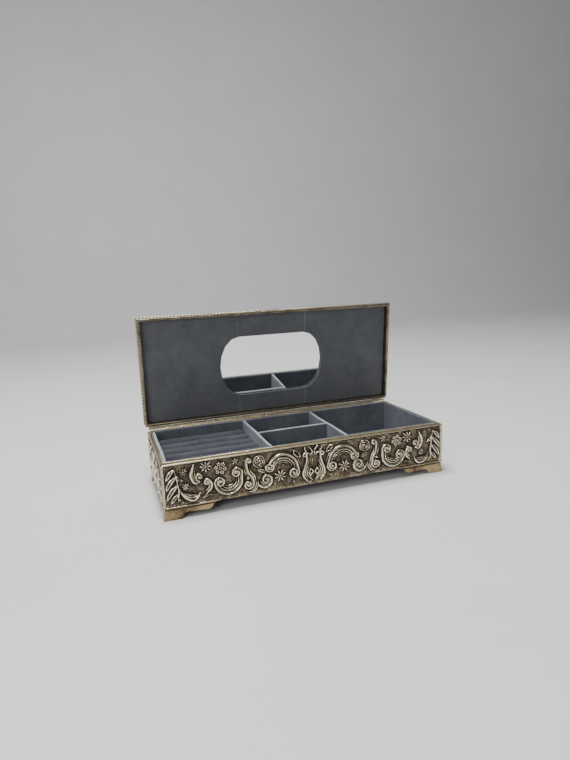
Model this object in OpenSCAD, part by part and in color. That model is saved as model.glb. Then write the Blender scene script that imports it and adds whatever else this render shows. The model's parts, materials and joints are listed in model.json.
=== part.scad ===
// Hinged jewellery box on four bracket feet: cast metal walls with raised scroll work,
// a velvet-lined tray with ring rolls, and a lid with a mirror set in a velvet panel.
// X runs along the front, -Y is the front, Z is up, and the feet stand on Z = 0.

/* [Body] */
// Length of the body along the front
body_l = 240; // [200:1:280]
// Depth of the body, front to back
body_d = 95.4; // [84:0.2:120]
// Height of the rim above the table
body_h = 43; // [40:1:60]
// Thickness of the cast wall panels
wall_t = 1.6; // [1.2:0.1:2]
// Thickness of the bottom plate
plate_t = 1.4; // [1:0.1:2]

/* [Feet] */
// Height of the bracket feet
foot_h = 9; // [8:0.5:12]
// Length of a foot along the front
foot_l = 41; // [34:1:46]
// Length of a foot along the side
foot_w = 30; // [26:1:34]
// Thickness of the bracket plates
foot_t = 2.2; // [1.8:0.1:2.6]

/* [Tray] */
// Thickness of the velvet-covered walls
liner_t = 2.6; // [2:0.1:4]
// Thickness of the tray's dividers
divider_t = 2.6; // [2:0.1:4]
// Centre of the divider beside the ring rolls
divider_left_x = -33.2; // [-50:0.1:-20]
// Centre of the divider beside the large compartment
divider_right_x = 32.7; // [20:0.1:50]
// Height of the ring rolls' crests above the table
roll_top = 37; // [34:0.5:38]

/* [Lid] */
// Height of the lid above the rim
lid_h = 9.6; // [9.2:0.1:11]
// How far the lid's cast wall stands out past the body's ends
lid_over = 1; // [0.6:0.1:1.4]
// Width of the lid's rim
lid_rim = 2.2; // [1.8:0.1:2.2]
// Depth from the lid's rim to its velvet panel
recess = 5; // [4.6:0.1:5]
// Width of the mirror's window
window_l = 98; // [80:1:120]
// Height of the mirror's window
window_w = 54; // [44:1:60]
// Angle that the lid stands open
lid_open = 86; // [0:1:86]

/* [Hidden] */

silver = "#b9b09b";
dark_silver = "#8f8672";
slate = "#6b7380";
card = "#8d8672";
felt = "#3b3f47";
glass = "#dfe4e6";

// Walls: half sizes, and the layers that lie inside them
half_l = body_l / 2;
half_d = body_d / 2;
field = 0.6;          // depth of the panels' sunk field
post_w = 2.2;         // plain strip at each corner
ledge_h = 1.2;        // plain strip under the field
rail_h = 2;           // plain rail over the field
bead_out = 0.3;
bead_h = 0.9;
flange_w = 2.4;       // width of the rim's flat top
flange_t = 1.2;
lip_t = 0.8;
hairline = 0.05;
lip_top = body_h + 1.3;
lip_low = body_h - 9;
lined = flange_w + lip_t;         // from the outside to the velvet walls' backs
bare = lined + liner_t;           // from the outside to the velvet itself

// Feet
foot_inset = 0.3;     // the feet stand back a little under the wall's bead
web_t = 1.2;
web_l = 12;
felt_t = 0.8;
felt_cut = 12;        // cut across the felt's corners, clear of the feet's webs

// Heights of the tray's layers
plate_top = foot_h + plate_t;
board_top = plate_top + 4;
pad_top = board_top + 2.2;
liner_top = body_h + 1;
divider_top = body_h + 0.6;
divider_y = -0.3;                 // centre of the cross divider

// Ring rolls fill the left compartment from front to back
roll_count = 6;
roll_gap = 0.1;
roll_pitch = (body_d - 2 * bare) / roll_count;
roll_r = roll_pitch / 2 - roll_gap / 2;
roll_low = roll_top - roll_pitch; // underside of each roll
rolls_x0 = -half_l + bare;
rolls_x1 = divider_left_x - divider_t / 2;

// Hinge line behind the back wall, and the lid's seat on the rim
hinge_y = half_d + 2.5;
hinge_z = body_h + 1.6;
barrel_r = 1.5;
rod_r = 0.8;
rod_play = 0.05;
knuckle_in = 107;     // a lid knuckle's inner end, on a body 240 long
knuckle_out = 118.6;
barrel_half = (knuckle_in - 0.3) * body_l / 240;
knuckle_a = knuckle_in * body_l / 240;
knuckle_b = knuckle_out * body_l / 240;
seat_z = body_h + 0.2;
lid_top = seat_z + lid_h;
lid_half_l = half_l + lid_over;
lid_front = -half_d - 0.6;
lid_back = half_d + 0.4;
lid_mid = (lid_front + lid_back) / 2;
lid_roof = 1.5;
card_t = 1.5;
glass_t = lid_h - lid_roof - recess - card_t;
rope_r = 0.9;
rope_out = 0.6;       // how far the rope stands out from the lid's wall
relief = 0.6;         // height of the raised work on the lid
fit_gap = 0.2;        // clearance round the pieces set in the lid
pocket = 5;           // how far the glass runs under the velvet panel's edge
window_y = lid_back - 46.5;
tab_half = 11;        // half the thumb tab's length
tab_out = 1.5;

// The open lid's rear face sets where the whole stands, so that the outer box is centred
rear = hinge_y + (lid_top + relief - hinge_z) * sin(lid_open)
    + (lid_back - hinge_y) * cos(lid_open);
frame_shift = -(max(rear, lid_back) - half_d - bead_out) / 2;

function arc(x, y, r, from, to, steps = 12) =
    [for (i = [0:steps]) let (a = from + (to - from) * i / steps) [x + r * cos(a), y + r * sin(a)]];

module in_body() { translate([0, frame_shift, 0]) children(); }

module in_lid() {
    translate([0, hinge_y + frame_shift, hinge_z]) rotate([-lid_open, 0, 0])
        translate([0, -hinge_y, -hinge_z]) children();
}

module bar(low, high) { translate(low) cube(high - low); }

// ---- Raised work, drawn flat with the panel's middle at x = 0 and its height along y ----

module volute(x, y, r) { translate([x, y]) circle(r = r, $fn = 32); }

module c_scroll(x, y, r, w, from, to) {
    translate([x, y]) polygon(concat(arc(0, 0, r, from, to, 18), arc(0, 0, r - w, to, from, 18)));
}

module star(x, y, r) {
    translate([x, y]) polygon([for (i = [0:15]) let (s = i % 2 == 0 ? r : r * 0.62)
        [s * cos(i * 22.5), s * sin(i * 22.5)]]);
}

module half_scrolls() {
    c_scroll(26, 27.5, 11.2, 2.6, 0, 172);
    volute(16.5, 22.5, 4.2);
    volute(35.4, 28.4, 3.7);
    star(27.7, 20.4, 5);
    star(45.5, 34.4, 4.8);
    c_scroll(42.5, 21.5, 7, 2, 180, 330);
    c_scroll(63, 30, 9.2, 2.4, 120, 215);
    volute(55.4, 18, 3.6);
    volute(64.6, 29, 3.9);
    c_scroll(70, 23.5, 12, 2.6, 190, 350);
    volute(77, 23.2, 4.4);
    star(75.6, 34.6, 5.3);
    star(87, 37, 3.8);
    c_scroll(97, 25, 10, 2.4, 190, 330);
    volute(91.4, 30.4, 3);
    star(104, 35.4, 3);
    volute(110.5, 27, 4.4);
    volute(112, 17, 3.8);
}

module centre_scrolls() {
    for (s = [-1, 1]) {
        volute(7.4 * s, 34, 3);
        c_scroll(3.2 * s, 24, 9.6, 2.6, s > 0 ? -60 : 120, s > 0 ? 60 : 240);
    }
    volute(0, 20, 3.2);
    star(0, 37.2, 2.8);
}

module long_scrolls() {
    centre_scrolls();
    half_scrolls();
    mirror([1, 0]) half_scrolls();
}

module end_scrolls() {
    for (s = [0, 1]) mirror([s, 0]) {
        c_scroll(18, 28, 10, 2.6, 10, 190);
        volute(25.5, 25, 4);
        volute(10, 24, 3.6);
        c_scroll(32, 22, 9, 2.4, 190, 350);
        star(37.5, 33, 4.6);
        volute(19, 15.5, 2.8);
    }
    star(0, 31, 6);
    volute(0, 18, 4);
}

// ---- Body ----

// A wall panel, mitred at both ends, drawn as the front one: its outer face at y = 0, inwards +Y.
// The scroll work given to it is drawn for a panel of half length drawn_half.
module wall_panel(half, drawn_half) {
    sunk_half = half - post_w;
    low = foot_h + ledge_h;
    high = body_h - rail_h;
    module mitred(in, z0, z1) {
        translate([0, 0, z0]) linear_extrude(z1 - z0)
            polygon([[-half, 0], [half, 0], [half - in, in], [-half + in, in]]);
    }
    difference() {
        union() {
            mitred(wall_t, foot_h, body_h);
            mitred(flange_w, body_h - flange_t, body_h);
        }
        bar([-sunk_half, -1, low], [sunk_half, field, high]);
    }
    // bead along the foot of the wall
    bar([-half + bead_out, -bead_out, foot_h], [half - bead_out, 0, foot_h + bead_h]);
    translate([0, field, 0]) rotate([90, 0, 0]) linear_extrude(field) intersection() {
        translate([-sunk_half, low]) square([2 * sunk_half, high - low]);
        scale([half / drawn_half, 1]) children();
    }
}

module front_panel() {
    in_body() color(silver) translate([0, -half_d, 0]) wall_panel(half_l, 120) long_scrolls();
}

module back_panel() {
    in_body() color(silver) translate([0, half_d, 0]) rotate(180) wall_panel(half_l, 120) long_scrolls();
}

module left_panel() {
    in_body() color(silver) translate([-half_l, 0, 0]) rotate(-90) wall_panel(half_d, 47.7) end_scrolls();
}

module right_panel() {
    in_body() color(silver) translate([half_l, 0, 0]) rotate(90) wall_panel(half_d, 47.7) end_scrolls();
}

// Outline of one bracket plate: a flat pad at the corner, a round notch, and an ogee end
function bracket(l, h) = concat(
    [[0, 0]],
    arc(0.43 * l, 0, 0.5 * h, 180, 90),
    arc(0.78 * l, h, 0.6 * h, -110, -25),
    arc(l, 0.5 * h, 0.5 * h, 155, 90),
    [[0, h]]);

// A foot with its corner at the origin, one plate along +X and one along +Y
module foot(x, y) {
    in_body() color(silver) translate([x * (half_l - foot_inset), y * (half_d - foot_inset), 0])
        mirror([x > 0 ? 1 : 0, 0, 0]) mirror([0, y > 0 ? 1 : 0, 0]) {
            translate([0, foot_t, 0]) rotate([90, 0, 0]) linear_extrude(foot_t) polygon(bracket(foot_l, foot_h));
            translate([foot_t, 0, 0]) rotate([90, 0, -90]) mirror([1, 0, 0])
                linear_extrude(foot_t) polygon(bracket(foot_w, foot_h));
            // web that ties the two plates under the bottom plate
            translate([foot_t, foot_t, foot_h - web_t]) linear_extrude(web_t)
                polygon([[0, 0], [web_l, 0], [0, web_l]]);
        }
}

module base_plate() {
    in_body() color(dark_silver)
        bar([-half_l + wall_t, -half_d + wall_t, foot_h], [half_l - wall_t, half_d - wall_t, plate_top]);
}

module base_felt() {
    x = half_l - web_l;
    y = half_d - web_l / 2;
    in_body() color(felt) translate([0, 0, foot_h - felt_t]) linear_extrude(felt_t)
        polygon([[-x, -y + felt_cut], [-x + felt_cut, -y], [x - felt_cut, -y], [x, -y + felt_cut],
            [x, y - felt_cut], [x - felt_cut, y], [-x + felt_cut, y], [-x, y - felt_cut]]);
}

// Four thin strips that stand inside the rim and guide the lid, with a hairline between their mitres
module rim_lip() {
    in_body() color(silver) translate([0, 0, lip_low]) linear_extrude(lip_top - lip_low)
        for (s = [-1, 1]) {
            x = half_l - flange_w;
            y = half_d - flange_w;
            g = hairline;
            polygon([[-x + g, s * y], [x - g, s * y], [x - lip_t - g, s * (y - lip_t)],
                [-x + lip_t + g, s * (y - lip_t)]]);
            polygon([[s * x, -y + g], [s * x, y - g], [s * (x - lip_t), y - lip_t - g],
                [s * (x - lip_t), -y + lip_t + g]]);
        }
}

module tray_board() {
    in_body() color(card)
        bar([-half_l + lined, -half_d + lined, plate_top], [half_l - lined, half_d - lined, board_top]);
}

module long_liner(s) {
    y = s > 0 ? half_d - bare : -half_d + lined;
    in_body() color(slate) bar([-half_l + lined, y, board_top], [half_l - lined, y + liner_t, liner_top]);
}

module end_liner(s) {
    x = s > 0 ? half_l - bare : -half_l + lined;
    in_body() color(slate) bar([x, -half_d + bare, board_top], [x + liner_t, half_d - bare, liner_top]);
}

module divider(x) {
    in_body() color(slate)
        bar([x - divider_t / 2, -half_d + bare, board_top], [x + divider_t / 2, half_d - bare, divider_top]);
}

module divider_middle() {
    in_body() color(slate)
        bar([divider_left_x + divider_t / 2, divider_y - divider_t / 2, board_top],
            [divider_right_x - divider_t / 2, divider_y + divider_t / 2, divider_top]);
}

module floor_pad(x0, x1, y0, y1) {
    in_body() color(slate) bar([x0, y0, board_top], [x1, y1, pad_top]);
}

module floor_pad_right() {
    floor_pad(divider_right_x + divider_t / 2, half_l - bare, -half_d + bare, half_d - bare);
}

module floor_pad_front() {
    floor_pad(divider_left_x + divider_t / 2, divider_right_x - divider_t / 2,
        -half_d + bare, divider_y - divider_t / 2);
}

module floor_pad_back() {
    floor_pad(divider_left_x + divider_t / 2, divider_right_x - divider_t / 2,
        divider_y + divider_t / 2, half_d - bare);
}

module ring_bed() {
    in_body() color(card) bar([rolls_x0, -half_d + bare, board_top], [rolls_x1, half_d - bare, roll_low]);
}

// One foam bar with a round top, counted from the front
module ring_roll(i) {
    y = -half_d + bare + (i - 0.5) * roll_pitch;
    z = roll_top - roll_r;
    in_body() color(slate) translate([rolls_x0, y, 0]) rotate([90, 0, 90]) linear_extrude(rolls_x1 - rolls_x0)
        union() {
            translate([0, z]) circle(r = roll_r, $fn = 48);
            translate([-roll_r, roll_low]) square([2 * roll_r, z - roll_low]);
        }
}

// ---- Hinge ----

// Section of a knuckle and the leaf that carries it, drawn in the Y-Z plane round the hinge line
module barrel_section() {
    circle(r = barrel_r, $fn = 48);
    polygon([[-2.5, -8], [-1.6, -8], [-1.6, -3.2], [0.6, -1.2], [-0.9, -0.9], [-2.5, -2.5]]);
}

module hinge_barrel() {
    in_body() color(silver) translate([-barrel_half, hinge_y, hinge_z]) rotate([90, 0, 90])
        difference() {
            linear_extrude(2 * barrel_half) barrel_section();
            translate([0, 0, -1]) cylinder(h = 2 * barrel_half + 2, r = rod_r, $fn = 48);
        }
}

module hinge_rod() {
    in_body() color(dark_silver) translate([-knuckle_b + 0.4, hinge_y, hinge_z]) rotate([0, 90, 0])
        cylinder(h = 2 * (knuckle_b - 0.4), r = rod_r, $fn = 48);
}

module lid_knuckle(s) {
    in_lid() color(silver) translate([s > 0 ? knuckle_a : -knuckle_b, hinge_y, hinge_z]) rotate([90, 0, 90])
        difference() {
            linear_extrude(knuckle_b - knuckle_a) union() {
                circle(r = barrel_r, $fn = 48);
                polygon([[-2.1, -1.2], [-0.4, -1.2], [-0.4, 1.45], [-2.1, 4]]);
            }
            translate([0, 0, -1]) cylinder(h = knuckle_b, r = rod_r + rod_play, $fn = 48);
        }
}

// ---- Lid, drawn closed ----

module lid_scrolls() {
    for (s = [0, 1]) mirror([s, 0]) for (t = [0, 1]) mirror([0, t]) {
        c_scroll(30, 22, 14, 3, 20, 200);
        volute(41, 21, 5);
        c_scroll(62, 20, 13, 3, 190, 350);
        volute(92, 24, 6);
        c_scroll(92, 16, 17, 3, 40, 170);
        star(62, 24, 6);
    }
    star(0, 0, 13);
    for (s = [-1, 1]) {
        star(45 * s, 0, 7);
        volute(80 * s, 0, 6);
    }
}

module lid_shell() {
    in_lid() color(silver) {
        difference() {
            bar([-lid_half_l, lid_front, seat_z], [lid_half_l, lid_back, lid_top]);
            bar([-lid_half_l + lid_rim, lid_front + lid_rim, seat_z - 1],
                [lid_half_l - lid_rim, lid_back - lid_rim, lid_top - lid_roof]);
        }
        translate([0, lid_mid, lid_top]) linear_extrude(relief) lid_scrolls();
    }
}

// Rope border along the front and the two ends, left off where the thumb tab sits
module lid_rope_trim() {
    z = seat_z + 2;
    x = lid_half_l + rope_out - rope_r;
    y = lid_front - rope_out + rope_r;
    in_lid() color(silver) difference() {
        union() {
            for (s = [-1, 1]) {
                translate([s * x, y, z]) rotate([-90, 0, 0]) cylinder(h = lid_back - y, r = rope_r, $fn = 24);
                translate([s > 0 ? tab_half : -x, y, z]) rotate([0, 90, 0])
                    cylinder(h = x - tab_half, r = rope_r, $fn = 24);
                translate([s * x, y, z]) sphere(r = rope_r, $fn = 24);
            }
        }
        bar([-lid_half_l, lid_front, seat_z - 1], [lid_half_l, lid_back + 1, lid_top]);
    }
}

// A shallow bow of plain metal to lift the lid by
module thumb_tab() {
    r = (tab_half * tab_half + tab_out * tab_out) / (2 * tab_out);
    sweep = asin(tab_half / r);
    in_lid() color(silver) translate([0, lid_front, seat_z]) linear_extrude(4.6)
        polygon(arc(0, r - tab_out, r, -90 - sweep, -90 + sweep, 24));
}

module lid_board() {
    z = seat_z + recess + card_t;
    x = lid_half_l - lid_rim - fit_gap;
    in_lid() color(card) difference() {
        bar([-x, lid_front + lid_rim + fit_gap, z], [x, lid_back - lid_rim - fit_gap, z + glass_t]);
        bar([-window_l / 2 - pocket, window_y - window_w / 2 - pocket, z - 1],
            [window_l / 2 + pocket, window_y + window_w / 2 + pocket, z + glass_t + 1]);
    }
}

module mirror_glass() {
    z = seat_z + recess + card_t;
    x = window_l / 2 + pocket - fit_gap;
    y = window_w / 2 + pocket - fit_gap;
    in_lid() color(glass) bar([-x, window_y - y, z], [x, window_y + y, z + glass_t]);
}

// Velvet-covered card with a long window whose ends are round
module lid_velvet_panel() {
    x = lid_half_l - lid_rim - fit_gap;
    r = window_w / 2;
    in_lid() color(slate) translate([0, 0, seat_z + recess]) linear_extrude(card_t) difference() {
        translate([-x, lid_front + lid_rim + fit_gap])
            square([2 * x, lid_back - lid_front - 2 * (lid_rim + fit_gap)]);
        translate([0, window_y]) {
            for (s = [-1, 1]) translate([s * (window_l / 2 - r), 0]) circle(r = r, $fn = 72);
            square([window_l - 2 * r, window_w], center = true);
        }
    }
}

front_panel();
back_panel();
left_panel();
right_panel();
foot(-1, -1);  // foot_front_left
foot(1, -1);  // foot_front_right
foot(-1, 1);  // foot_back_left
foot(1, 1);  // foot_back_right
base_plate();
base_felt();
rim_lip();
tray_board();
long_liner(-1);  // liner_front
long_liner(1);  // liner_back
end_liner(-1);  // liner_left
end_liner(1);  // liner_right
divider(divider_left_x);  // divider_left
divider(divider_right_x);  // divider_right
divider_middle();
floor_pad_right();
floor_pad_front();
floor_pad_back();
ring_bed();
ring_roll(1);  // ring_roll_1
ring_roll(2);  // ring_roll_2
ring_roll(3);  // ring_roll_3
ring_roll(4);  // ring_roll_4
ring_roll(5);  // ring_roll_5
ring_roll(6);  // ring_roll_6
hinge_barrel();
hinge_rod();
lid_shell();
lid_rope_trim();
thumb_tab();
lid_knuckle(-1);  // lid_knuckle_left
lid_knuckle(1);  // lid_knuckle_right
lid_board();
mirror_glass();
lid_velvet_panel();
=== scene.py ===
import json
from math import atan2, copysign, cos, dist, pi, radians, sin

import bmesh
import bpy
import numpy as np
from mathutils import Matrix, Vector


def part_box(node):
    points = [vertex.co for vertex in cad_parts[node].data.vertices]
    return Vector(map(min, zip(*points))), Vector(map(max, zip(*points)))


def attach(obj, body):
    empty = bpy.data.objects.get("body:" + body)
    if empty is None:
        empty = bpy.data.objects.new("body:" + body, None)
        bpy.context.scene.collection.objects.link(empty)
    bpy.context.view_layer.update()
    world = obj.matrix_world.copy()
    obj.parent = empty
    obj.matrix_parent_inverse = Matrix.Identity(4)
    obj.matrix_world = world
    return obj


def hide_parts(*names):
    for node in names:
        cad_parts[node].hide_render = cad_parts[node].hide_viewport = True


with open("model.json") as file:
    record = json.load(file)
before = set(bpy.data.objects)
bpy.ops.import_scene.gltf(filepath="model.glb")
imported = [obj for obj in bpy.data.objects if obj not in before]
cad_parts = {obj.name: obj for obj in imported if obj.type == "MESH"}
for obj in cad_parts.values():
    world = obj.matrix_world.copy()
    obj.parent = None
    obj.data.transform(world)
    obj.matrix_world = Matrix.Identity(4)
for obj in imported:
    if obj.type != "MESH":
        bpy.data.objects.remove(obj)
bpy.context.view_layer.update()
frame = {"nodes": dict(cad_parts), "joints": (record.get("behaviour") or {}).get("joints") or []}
mm = 0.001

# the box's own sizes, read from the frame
bodyLeft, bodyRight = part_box("front_panel")[0].x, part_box("front_panel")[1].x
bodyFront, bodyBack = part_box("left_panel")[0].y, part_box("left_panel")[1].y
wallLow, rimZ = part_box("front_panel")[0].z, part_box("front_panel")[1].z
bodyMid = (bodyFront + bodyBack) / 2

# lid pieces are made shut, flat on the rim, and then swung open to where the frame has them
hinge = frame["joints"][0]
hingePoint = Vector(hinge["pos_m"])
shutTurn = (Matrix.Translation(hingePoint) @ Matrix.Rotation(radians(hinge["range_deg"][1]), 4, "X")
            @ Matrix.Translation(-hingePoint))
openTurn = shutTurn.inverted()


def shutBox(node):
    points = np.array([shutTurn @ v.co for v in frame["nodes"][node].data.vertices])
    return Vector(points.min(0)), Vector(points.max(0))


def nodeMaterial(name):
    material = bpy.data.materials.new(name)
    material.use_nodes = True
    tree = material.node_tree
    return material, tree, tree.nodes["Principled BSDF"]


def addNode(tree, kind, **values):
    node = tree.nodes.new(kind)
    for key, value in values.items():
        if key in node.inputs:
            node.inputs[key].default_value = value
        else:
            setattr(node, key, value)
    return node


def addNoise(tree, scale, detail=4.0, rough=0.55, stretch=(1, 1, 1)):
    coords = addNode(tree, "ShaderNodeTexCoord")
    mapping = addNode(tree, "ShaderNodeMapping")
    mapping.inputs["Scale"].default_value = stretch
    noise = addNode(tree, "ShaderNodeTexNoise", Scale=scale, Detail=detail, Roughness=rough)
    tree.links.new(coords.outputs["Object"], mapping.inputs["Vector"])
    tree.links.new(mapping.outputs["Vector"], noise.inputs["Vector"])
    return noise.outputs["Fac"]


def addRamp(tree, source, stops):
    ramp = addNode(tree, "ShaderNodeValToRGB")
    elements = ramp.color_ramp.elements
    while len(elements) < len(stops):
        elements.new(0.5)
    for element, (place, colour) in zip(elements, stops):
        element.position = place
        element.color = (*colour, 1) if len(colour) == 3 else colour
    tree.links.new(source, ramp.inputs["Fac"])
    return ramp.outputs["Color"]


def addMath(tree, operation, a, b):
    node = addNode(tree, "ShaderNodeMath", operation=operation)
    for socket, value in zip(node.inputs, (a, b)):
        if isinstance(value, (int, float)):
            socket.default_value = value
        else:
            tree.links.new(value, socket)
    return node.outputs["Value"]


def times(tree, a, b):
    return addMath(tree, "MULTIPLY", a, b)


def plus(tree, a, b):
    return addMath(tree, "ADD", a, b)


def addBump(tree, shader, source, strength, distance):
    bump = addNode(tree, "ShaderNodeBump", Strength=strength, Distance=distance)
    tree.links.new(source, bump.inputs["Height"])
    tree.links.new(bump.outputs["Normal"], shader.inputs["Normal"])


def grey(value):
    return (value, value, value)


antiqueFinish = {
    "black": (0.010, 0.008, 0.005),
    "brown": (0.130, 0.103, 0.068),
    "dull": (0.40, 0.34, 0.235),
    "bright": (0.88, 0.80, 0.62),
    "blotchScale": 60.0,
    "grainScale": 900.0,
}


def antiqueSilver():
    # plate rubbed bright on the crests, oxide and painted shade left dark in the hollows; "crest" is 0 in a
    # hollow and 1 on top
    s = antiqueFinish
    material, tree, shader = nodeMaterial("antiqueSilver")
    crest = addNode(tree, "ShaderNodeAttribute", attribute_name="crest").outputs["Fac"]
    blotch = addNoise(tree, s["blotchScale"], 5.0)
    grain = addNoise(tree, s["grainScale"], 3.0)
    drift = times(tree, addMath(tree, "SUBTRACT", blotch, 0.5), 0.26)
    speck = times(tree, addMath(tree, "SUBTRACT", grain, 0.5), 0.22)
    wear = plus(tree, crest, plus(tree, drift, speck))
    colour = addRamp(tree, wear, [(0.08, s["black"]), (0.32, s["brown"]), (0.58, s["dull"]),
                                  (0.88, s["bright"])])
    tree.links.new(colour, shader.inputs["Base Color"])
    rough = addRamp(tree, wear, [(0.10, grey(0.70)), (0.40, grey(0.42)), (0.75, grey(0.19))])
    tree.links.new(rough, shader.inputs["Roughness"])
    metal = addRamp(tree, wear, [(0.08, grey(0.35)), (0.40, grey(1.0))])
    tree.links.new(metal, shader.inputs["Metallic"])
    addBump(tree, shader, grain, 0.25, 0.00012)
    return material


def plainSilver(name, light, dark, rough, blotchScale=90.0, stretch=(1, 1, 1), bump=0.08):
    # smooth plate with cloudy tarnish and fine rubbing marks
    material, tree, shader = nodeMaterial(name)
    cloud = addNoise(tree, blotchScale, 6.0, 0.6)
    rub = addNoise(tree, 420.0, 3.0, 0.5, stretch)
    mixed = plus(tree, times(tree, cloud, 0.75), times(tree, rub, 0.25))
    colour = addRamp(tree, mixed, [(0.34, dark), (0.56, light)])
    tree.links.new(colour, shader.inputs["Base Color"])
    roughness = addRamp(tree, mixed, [(0.34, grey(rough + 0.16)), (0.60, grey(rough))])
    tree.links.new(roughness, shader.inputs["Roughness"])
    shader.inputs["Metallic"].default_value = 1.0
    addBump(tree, shader, rub, bump, 0.00008)
    return material


creaseHalf = 0.0011


def velvet(name, deep, pile, sheen, creaseAt=None):
    # short pile: brushed patches, a fine nap and a pale sheen at grazing angles
    material, tree, shader = nodeMaterial(name)
    patch = addNoise(tree, 48.0, 7.0, 0.68)
    nap = addNoise(tree, 1300.0, 2.0, 0.6)
    mixed = plus(tree, times(tree, patch, 0.6), times(tree, nap, 0.4))
    # this attribute paints light: paler top edges on the strips (painted highlight) and darker hollows
    # between the ring rolls (painted shade)
    rub = addNode(tree, "ShaderNodeAttribute", attribute_name="rub").outputs["Fac"]
    napAndPaintedLight = plus(tree, mixed, times(tree, rub, 0.5))
    if creaseAt:                                    # faint upright creases either side of the middle
        across = addNode(tree, "ShaderNodeSeparateXYZ")
        tree.links.new(addNode(tree, "ShaderNodeTexCoord").outputs["Object"], across.inputs["Vector"])
        off = addMath(tree, "SUBTRACT", addMath(tree, "ABSOLUTE", across.outputs["X"], 0.0), creaseAt)
        nearness = addMath(tree, "DIVIDE", addMath(tree, "ABSOLUTE", off, 0.0), creaseHalf)
        fold = addMath(tree, "SUBTRACT", 1.0, nearness)
        napAndPaintedLight = plus(tree, napAndPaintedLight, times(tree, addMath(tree, "MAXIMUM", fold, 0.0), 0.16))
    pale = tuple(2.3 * c + 0.03 for c in pile)
    colour = addRamp(tree, napAndPaintedLight, [(0.36, deep), (0.62, pile), (1.0, pale)])
    tree.links.new(colour, shader.inputs["Base Color"])
    shader.inputs["Roughness"].default_value = 0.95
    shader.inputs["Specular IOR Level"].default_value = 0.15
    shader.inputs["Sheen Weight"].default_value = sheen
    shader.inputs["Sheen Roughness"].default_value = 0.38
    shader.inputs["Sheen Tint"].default_value = (0.78, 0.84, 0.95, 1)
    addBump(tree, shader, nap, 0.45, 0.0003)
    return material


def mirrorFace():
    material, tree, shader = nodeMaterial("mirrorFace")
    smudge = addNoise(tree, 30.0, 5.0)
    rough = addRamp(tree, smudge, [(0.30, grey(0.004)), (0.75, grey(0.030))])
    colour = addRamp(tree, smudge, [(0.3, (0.90, 0.93, 0.92)), (0.7, (0.86, 0.89, 0.88))])
    tree.links.new(rough, shader.inputs["Roughness"])
    tree.links.new(colour, shader.inputs["Base Color"])
    shader.inputs["Metallic"].default_value = 1.0
    return material


def boardStock(name, light, dark, scale):
    material, tree, shader = nodeMaterial(name)
    fibre = addNoise(tree, scale, 5.0, 0.65, (1, 3, 1))
    tree.links.new(addRamp(tree, fibre, [(0.3, dark), (0.7, light)]), shader.inputs["Base Color"])
    shader.inputs["Roughness"].default_value = 0.9
    addBump(tree, shader, fibre, 0.3, 0.0002)
    return material


print("materials")
antique = antiqueSilver()
rimSilver = plainSilver("rimSilver", (0.66, 0.58, 0.40), (0.36, 0.29, 0.17), 0.26, 140.0)
footSilver = plainSilver("footSilver", (0.35, 0.265, 0.145), (0.075, 0.048, 0.024), 0.17, 46.0)
# a darker copy of the rim plate for the lid's plain faces, as painted shade
shadedRim = plainSilver("shadedRim", (0.25, 0.215, 0.155), (0.10, 0.082, 0.058), 0.28, 110.0)
hingeSilver = plainSilver("hingeSilver", (0.88, 0.82, 0.66), (0.62, 0.54, 0.38), 0.22, 60.0,
                          stretch=(0.1, 1, 1), bump=0.01)
bottomMetal = plainSilver("bottomMetal", (0.40, 0.38, 0.33), (0.22, 0.20, 0.17), 0.45)
lidVelvet = velvet("lidVelvet", (0.085, 0.089, 0.097), (0.125, 0.130, 0.140), 0.30, 0.033)
trayVelvet = velvet("trayVelvet", (0.071, 0.078, 0.090), (0.140, 0.153, 0.172), 0.42)
# a darker copy of the tray velvet for the ring rolls, as painted shade
shadedRollVelvet = velvet("shadedRollVelvet", (0.042, 0.046, 0.054), (0.082, 0.089, 0.103), 0.15)
cutEdge = boardStock("cutEdge", (0.24, 0.25, 0.27), (0.16, 0.17, 0.185), 500.0)
greyBoard = boardStock("greyBoard", (0.36, 0.33, 0.28), (0.24, 0.22, 0.19), 300.0)
foamStock = boardStock("foamStock", (0.22, 0.24, 0.27), (0.12, 0.13, 0.15), 900.0)
feltStock = boardStock("feltStock", (0.050, 0.055, 0.065), (0.020, 0.022, 0.028), 1400.0)
mirrorSilver = mirrorFace()


def vertsOf(made):
    return [g for g in made if isinstance(g, bmesh.types.BMVert)]


def drawOn(bm, edges):
    # extrudes open edges: gives the new vertices and the new open edges
    grown = bmesh.ops.extrude_edge_only(bm, edges=edges)["geom"]
    return vertsOf(grown), [g for g in grown if isinstance(g, bmesh.types.BMEdge) and len(g.link_faces) == 1]


def makePiece(bm, name, materials, body, nodes=(), smoothAngle=40, swing=False):
    mesh = bpy.data.meshes.new(name)
    bm.normal_update()
    bm.to_mesh(mesh)
    bm.free()
    if swing:
        mesh.transform(openTurn)
    for polygon in mesh.polygons:
        polygon.use_smooth = True
    mesh.set_sharp_from_angle(angle=radians(smoothAngle))
    piece = bpy.data.objects.new(name, mesh)
    bpy.context.scene.collection.objects.link(piece)
    if len(mesh.polygons) < 30000:
        # keeps flat faces flat beside round edges
        weighted = piece.modifiers.new("flatFaces", "WEIGHTED_NORMAL")
        weighted.keep_sharp = True
    for material in materials if isinstance(materials, (list, tuple)) else [materials]:
        mesh.materials.append(material)
    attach(piece, body)
    if nodes:
        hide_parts(*nodes)
    return piece


def blockMesh(low, high):
    bm = bmesh.new()
    bmesh.ops.create_cube(bm, size=1)
    bmesh.ops.scale(bm, vec=high - low, verts=bm.verts)
    bmesh.ops.translate(bm, vec=(low + high) / 2, verts=bm.verts)
    return bm


def roundEdges(bm, edges, width, segments=3):
    bmesh.ops.bevel(bm, geom=edges, offset=width, offset_type="OFFSET", affect="EDGES", segments=segments,
                    profile=0.5, material=-1, clamp_overlap=True)


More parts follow.
